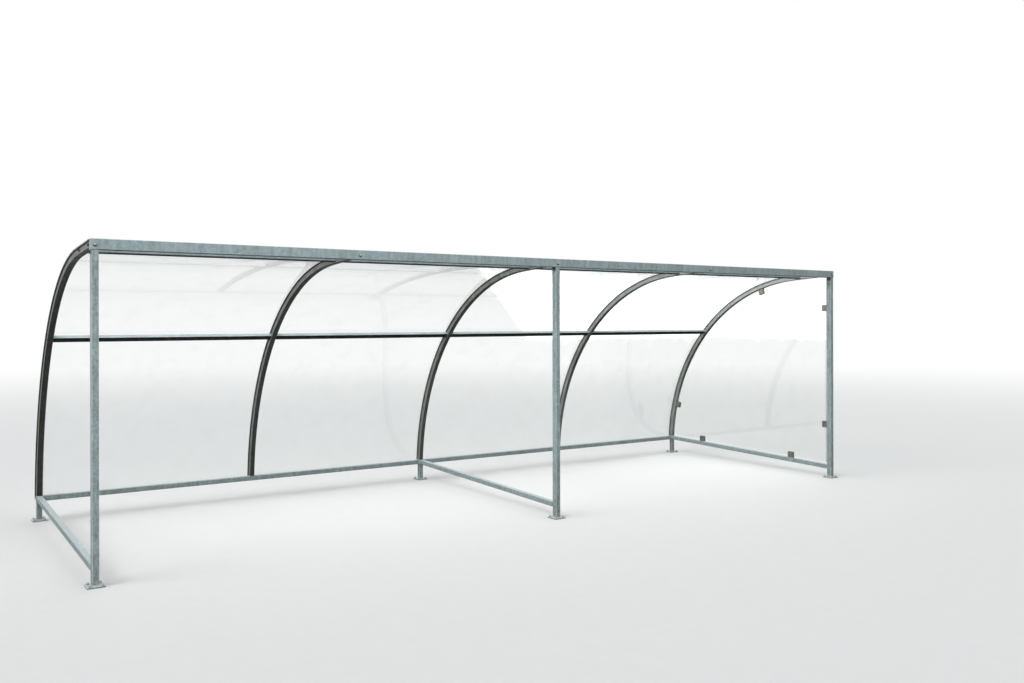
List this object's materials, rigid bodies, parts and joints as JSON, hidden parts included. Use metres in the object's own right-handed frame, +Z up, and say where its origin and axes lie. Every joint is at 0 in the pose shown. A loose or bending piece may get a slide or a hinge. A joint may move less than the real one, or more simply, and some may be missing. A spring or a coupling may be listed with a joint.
{
  "type": "bike shelter",
  "caption": "Open-fronted lean-to bike shelter: galvanised tube frame with curved ribs, bent clear roof sheets and one clamped clear end panel.",
  "frame": {"origin": "on the floor, under the middle of the shelter's box", "axes": "+X along the front to the viewer's right, +Y from the open front to the back, +Z up"},
  "size_m": [6.724, 2.2858, 2],
  "materials": {
    "galvanised_steel": "hot-dip galvanised, dull grey with a soft sheen",
    "seal_rubber": "dark matt sealing strip",
    "clear_roof_sheet": "clear bent plastic sheet, slightly soiled",
    "strip_aluminium": "weathered, dull",
    "clear_end_panel": "clear flat plastic panel",
    "clamp_metal": "cast, weathered to a dull warm grey"
  },
  "bodies": {
    "root": {"front_post_left": "galvanised_steel", "front_post_middle": "galvanised_steel", "front_post_right": "galvanised_steel", "rear_foot_left": "galvanised_steel", "rear_foot_middle": "galvanised_steel", "rear_foot_right": "galvanised_steel", "front_beam": "galvanised_steel", "beam_cap_left": "galvanised_steel", "beam_cap_right": "galvanised_steel", "back_rail": "galvanised_steel", "rail_cap_left": "galvanised_steel", "rail_cap_right": "galvanised_steel", "side_rail_left": "galvanised_steel", "side_rail_middle": "galvanised_steel", "side_rail_right": "galvanised_steel", "rib_1": "galvanised_steel", "rib_2": "galvanised_steel", "rib_3": "galvanised_steel", "rib_4": "galvanised_steel", "rib_5": "galvanised_steel", "mid_purlin_1": "galvanised_steel", "mid_purlin_2": "galvanised_steel", "mid_purlin_3": "galvanised_steel", "mid_purlin_4": "galvanised_steel", "top_purlin_1": "galvanised_steel", "top_purlin_2": "galvanised_steel", "top_purlin_3": "galvanised_steel", "top_purlin_4": "galvanised_steel", "rib_seals": "seal_rubber", "roof_sheet_1": "clear_roof_sheet", "roof_sheet_2": "clear_roof_sheet", "roof_sheet_3": "clear_roof_sheet", "roof_sheet_4": "clear_roof_sheet", "cover_strip_1": "strip_aluminium", "cover_strip_2": "strip_aluminium", "cover_strip_3": "strip_aluminium", "cover_strip_4": "strip_aluminium", "cover_strip_5": "strip_aluminium", "end_panel": "clear_end_panel", "clamp_rail_front": "clamp_metal", "clamp_rail_back": "clamp_metal", "clamp_rib_low": "clamp_metal", "clamp_rib_high": "clamp_metal", "clamp_post_low": "clamp_metal", "clamp_post_high": "clamp_metal"}
  },
  "joints": []
}
